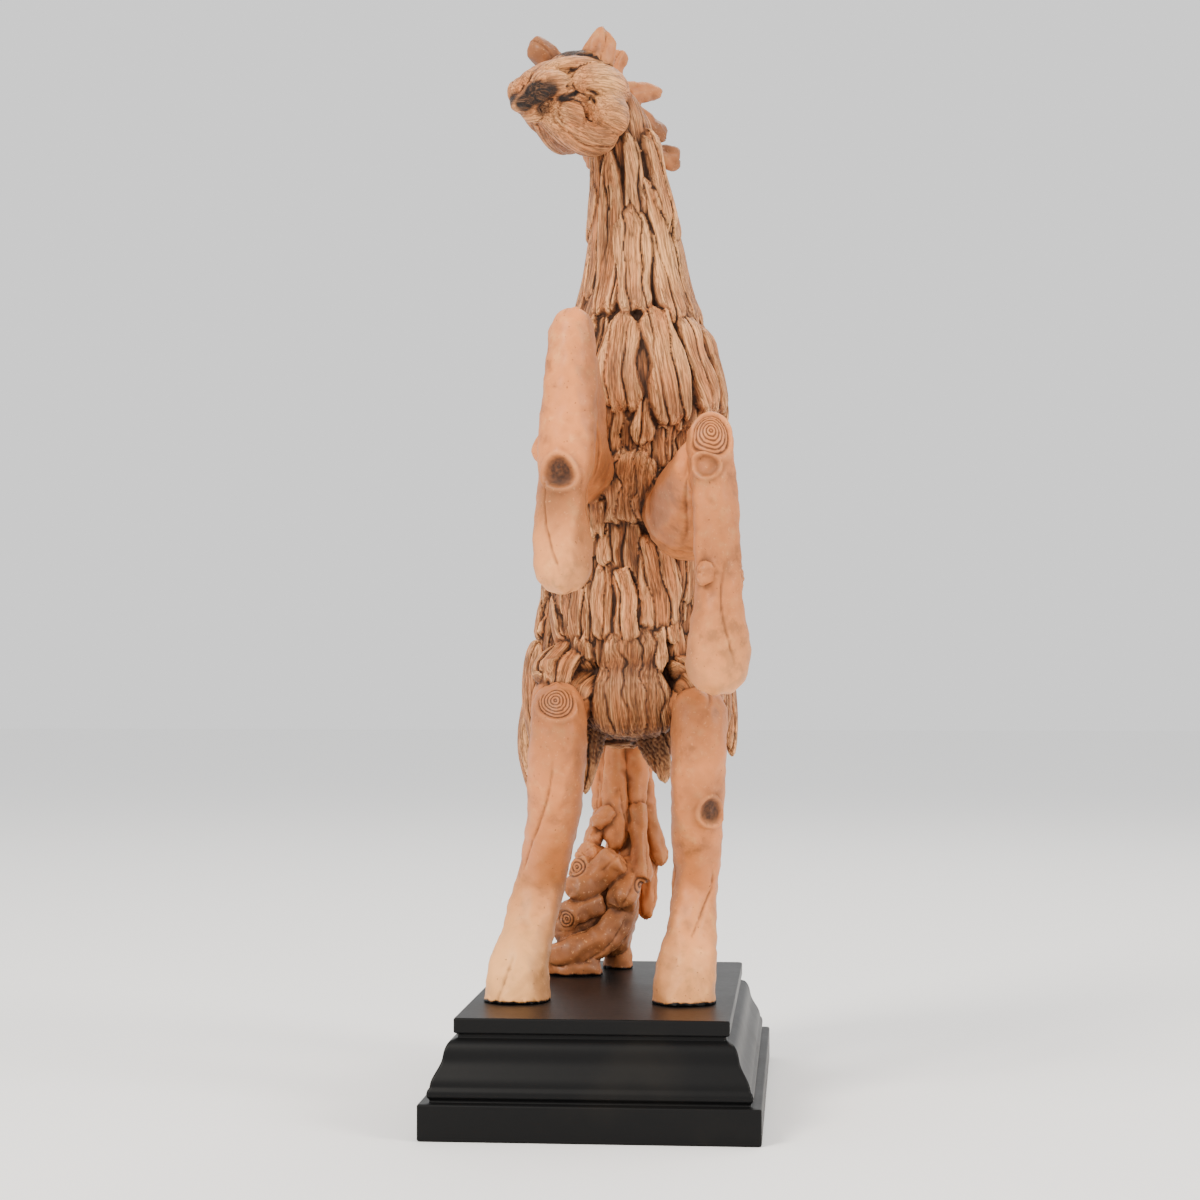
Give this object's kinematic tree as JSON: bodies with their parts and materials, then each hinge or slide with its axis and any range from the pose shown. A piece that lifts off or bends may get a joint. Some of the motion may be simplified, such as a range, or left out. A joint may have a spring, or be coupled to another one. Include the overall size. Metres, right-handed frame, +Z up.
{
  "type": "horse figurine",
  "caption": "Rearing horse figurine cast to look like pieces of driftwood, standing on a stepped moulded plinth.",
  "frame": {"origin": "middle of the plinth's underside", "axes": "+Z up, the horse's belly and the front of the plinth face -Y, and +X is to the horse's left"},
  "size_m": [0.125, 0.2286, 0.4186],
  "materials": {
    "horse": "satin painted resin, driftwood tans and browns",
    "plinth": "satin black paint"
  },
  "bodies": {
    "root": {"horse": "horse", "plinth": "plinth"}
  },
  "joints": []
}
